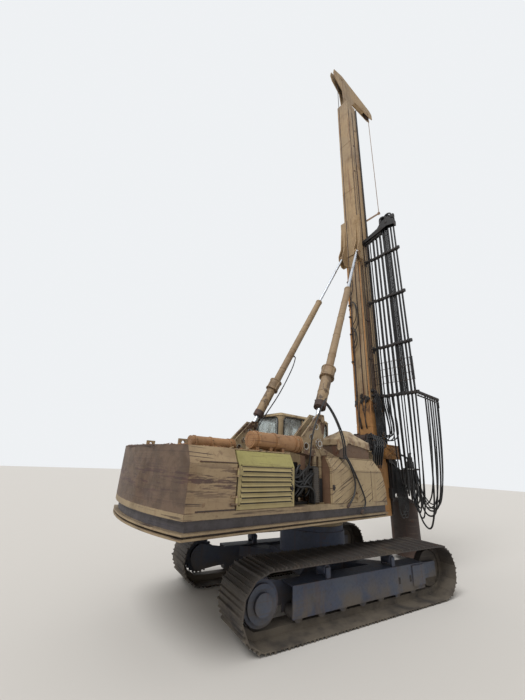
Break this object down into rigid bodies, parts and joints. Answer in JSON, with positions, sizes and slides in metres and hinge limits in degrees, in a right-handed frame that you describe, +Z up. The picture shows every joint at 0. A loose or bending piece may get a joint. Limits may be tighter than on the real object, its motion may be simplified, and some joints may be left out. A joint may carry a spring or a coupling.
{
  "type": "crawler drilling rig",
  "caption": "Tracked rotary drilling rig: slewing upper with cab and engine house, tall box mast held by two telescopic back stays, hose bundle and a sliding rotary head.",
  "frame": {"origin": "on the ground under the middle of the overall length, on the upper structure's centre plane", "axes": "+X to the mast side of the upper structure, +Y to its left, +Z up along the mast; the crawler is parked turned 9 degrees clockwise seen from above"},
  "size_m": [8.75, 3.8306, 19.55],
  "materials": {
    "tan_paint": "worn paint",
    "olive_paint": "worn paint",
    "tail_paint": "worn paint",
    "mast_paint": "worn paint",
    "ochre_paint": "worn paint",
    "crawler_paint": "worn paint",
    "brown_paint": "worn paint",
    "dark_paint": "worn paint",
    "frame_paint": "worn paint",
    "track_steel": "rusty and dusty",
    "bare_steel": "worn",
    "rod_chrome": "polished",
    "rusty_steel": "rusty",
    "hose_rubber": "matt",
    "window_glass": "dusty",
    "seat_cover": "worn",
    "cover_sheet": "crumpled"
  },
  "bodies": {
    "crawler": {"track_left": "track_steel", "track_right": "track_steel", "track_frame_left": "crawler_paint", "track_frame_right": "crawler_paint", "track_rollers": "track_steel", "idler_wheels": "track_steel", "drive_sprockets": "crawler_paint", "car_body": "crawler_paint"},
    "upper": {"upper_frame": "tan_paint", "mast_cradle": "tan_paint", "counterweight": "tail_paint", "louvre_panel_left": "tan_paint", "house_roof": "tan_paint", "engine_block": "dark_paint", "front_box": "tan_paint", "left_bay_panel": "tan_paint", "bay_valves": "bare_steel", "cab_shell": "tan_paint", "cab_glass": "window_glass", "cab_seat": "seat_cover", "stay_brackets": "brown_paint", "strut_tubes": "brown_paint", "deck_box": "brown_paint", "deck_cover": "cover_sheet"},
    "louvre_door": {"louvre_door_right": "olive_paint"},
    "box_door": {"front_box_door": "tan_paint"},
    "cab_door": {"cab_door": "tan_paint", "cab_door_glass": "window_glass"},
    "mast": {"mast_lower": "mast_paint", "mast_upper": "mast_paint", "mast_rails": "dark_paint", "mast_foot_lugs": "mast_paint", "foot_side_block": "ochre_paint", "stay_skirt": "mast_paint", "winch": "dark_paint", "mast_crown": "mast_paint", "rope_sheaves": "bare_steel", "hose_bundle": "hose_rubber", "mast_side_pipes": "brown_paint", "rope_arm": "brown_paint", "hose_loop_1": "hose_rubber", "hose_loop_2": "hose_rubber", "hose_loop_3": "hose_rubber"},
    "stay_left": {"stay_lower_rod_left": "rod_chrome", "stay_barrel_left": "tan_paint"},
    "stay_right": {"stay_lower_rod_right": "rod_chrome", "stay_barrel_right": "tan_paint"},
    "stay_rod_left": {"stay_upper_rod_left": "rod_chrome"},
    "stay_rod_right": {"stay_upper_rod_right": "rod_chrome"},
    "drill_head": {"head_carriage": "dark_paint", "head_gearbox": "dark_paint", "head_motors": "dark_paint"},
    "drill_drive": {"head_shaft": "bare_steel", "core_barrel": "rusty_steel"}
  },
  "joints": [
    {"name": "slew", "type": "hinge", "parent": "crawler", "child": "upper", "pos_m": [-0.475, 0, 1.182], "axis": [0, 0, 1], "continuous": true},
    {"name": "mast_tilt", "type": "hinge", "parent": "upper", "child": "mast", "pos_m": [1.675, 0, 2.65], "axis": [0, 1, 0], "range_deg": [-15, 5]},
    {"name": "louvre_door_hinge", "type": "hinge", "parent": "upper", "child": "louvre_door", "pos_m": [-3.45, -1.318, 1.99], "axis": [0, 0, 1], "range_deg": [-110, 0]},
    {"name": "box_door_hinge", "type": "hinge", "parent": "upper", "child": "box_door", "pos_m": [-0.7005, -1.318, 1.99], "axis": [0, 0, 1], "range_deg": [0, 100]},
    {"name": "cab_door_hinge", "type": "hinge", "parent": "upper", "child": "cab_door", "pos_m": [-0.3225, 1.318, 2.58], "axis": [0, 0, 1], "range_deg": [0, 95]},
    {"name": "stay_foot_left", "type": "hinge", "parent": "upper", "child": "stay_left", "pos_m": [-1.455, 1, 3.1], "axis": [-0.0116, 0.9925, 0.1214], "range_deg": [-13.3, 4.5]},
    {"name": "stay_stroke_left", "type": "slide", "parent": "stay_left", "child": "stay_rod_left", "axis": [0.4483, -0.1033, 0.8879], "range_m": [-0.8, 0.27]},
    {"name": "stay_foot_right", "type": "hinge", "parent": "upper", "child": "stay_right", "pos_m": [-1.455, -1, 3.1], "axis": [0.0116, 0.9925, -0.1214], "range_deg": [-13.3, 4.5]},
    {"name": "stay_stroke_right", "type": "slide", "parent": "stay_right", "child": "stay_rod_right", "axis": [0.4483, 0.1033, 0.8879], "range_m": [-0.8, 0.27]},
    {"name": "head_feed", "type": "slide", "parent": "mast", "child": "drill_head", "axis": [0, 0, 1], "range_m": [0, 4.5]},
    {"name": "drive_spin", "type": "hinge", "parent": "drill_head", "child": "drill_drive", "pos_m": [3.575, 0, 1.5], "axis": [0, 0, 1], "continuous": true}
  ],
  "couplings": [
    {"joint": "stay_foot_left", "follows": "mast_tilt", "ratio": 0.88059},
    {"joint": "stay_stroke_left", "follows": "mast_tilt", "m_per_rad": 3.0465},
    {"joint": "stay_foot_right", "follows": "mast_tilt", "ratio": 0.88059},
    {"joint": "stay_stroke_right", "follows": "mast_tilt", "m_per_rad": 3.0465}
  ]
}
